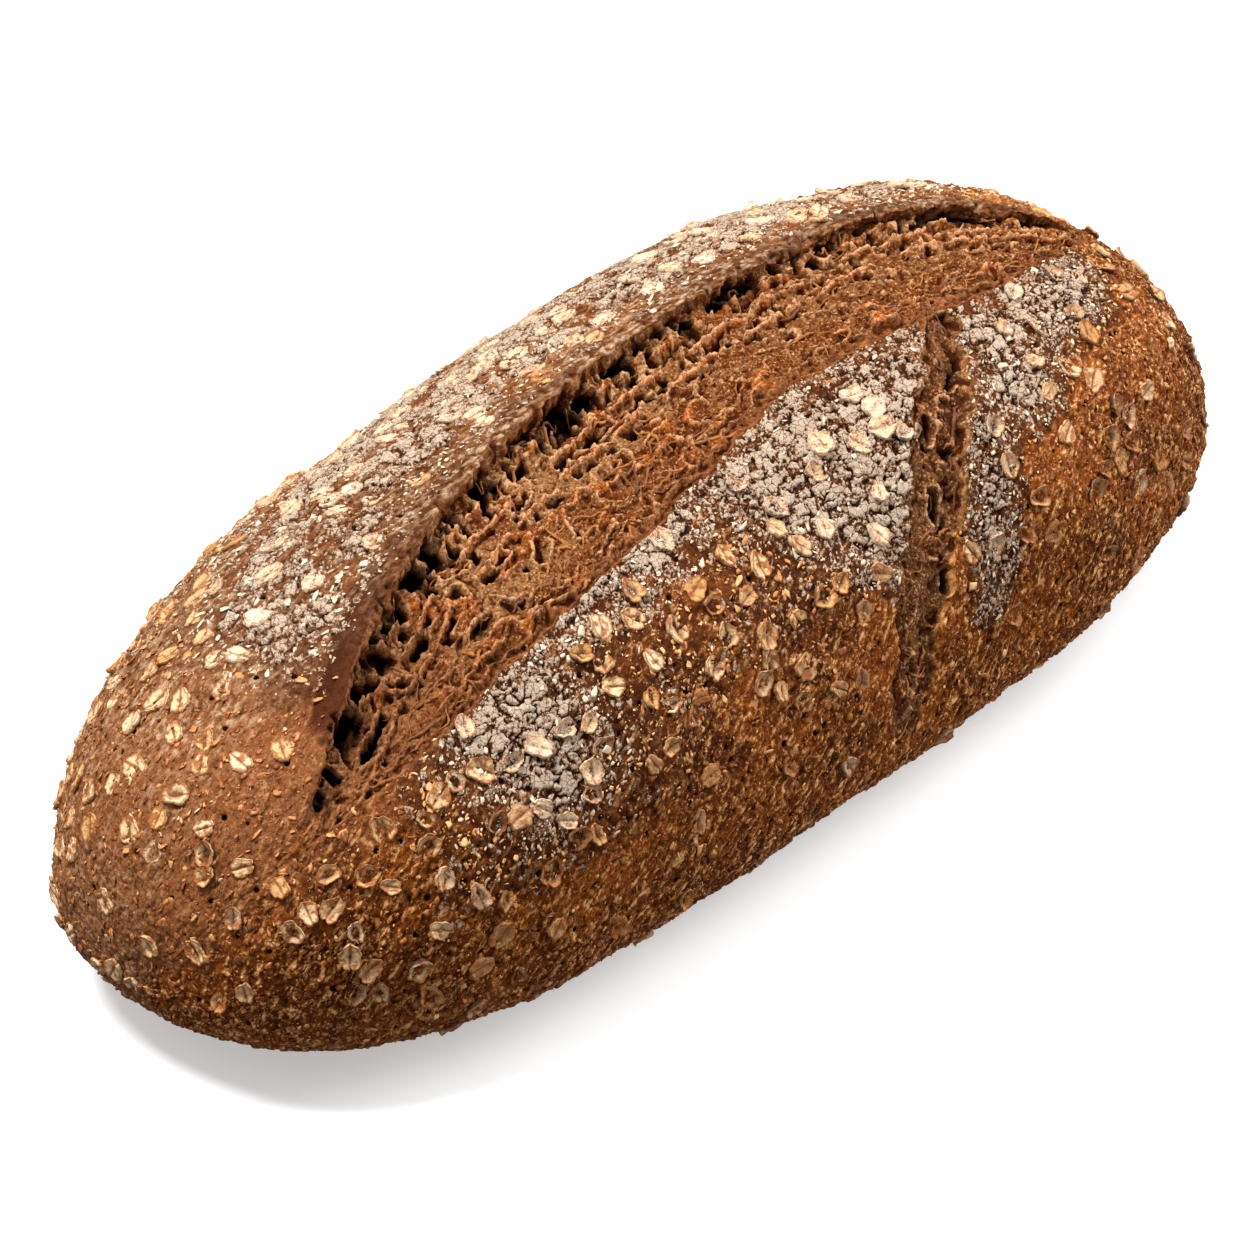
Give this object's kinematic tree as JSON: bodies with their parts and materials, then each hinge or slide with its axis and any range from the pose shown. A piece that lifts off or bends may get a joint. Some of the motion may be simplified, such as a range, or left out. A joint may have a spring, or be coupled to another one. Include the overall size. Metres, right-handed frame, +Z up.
{
  "type": "rye loaf",
  "caption": "Oval hearth-baked rye loaf with a long torn score along its top, a short side score, and a seeded, floured crust; rests on its flat base.",
  "frame": {"origin": "middle of the flat base, straight below the centre of the bounding box", "axes": "+X along the loaf's length, +Y to its back, the side away from the short side score, +Z up"},
  "size_m": [0.32, 0.1406, 0.089],
  "materials": {
    "baked_crust": "matt baked rye crust with flour, torn crumb in the scores and rolled oats"
  },
  "bodies": {
    "root": {"rye_loaf": "baked_crust"}
  },
  "joints": []
}
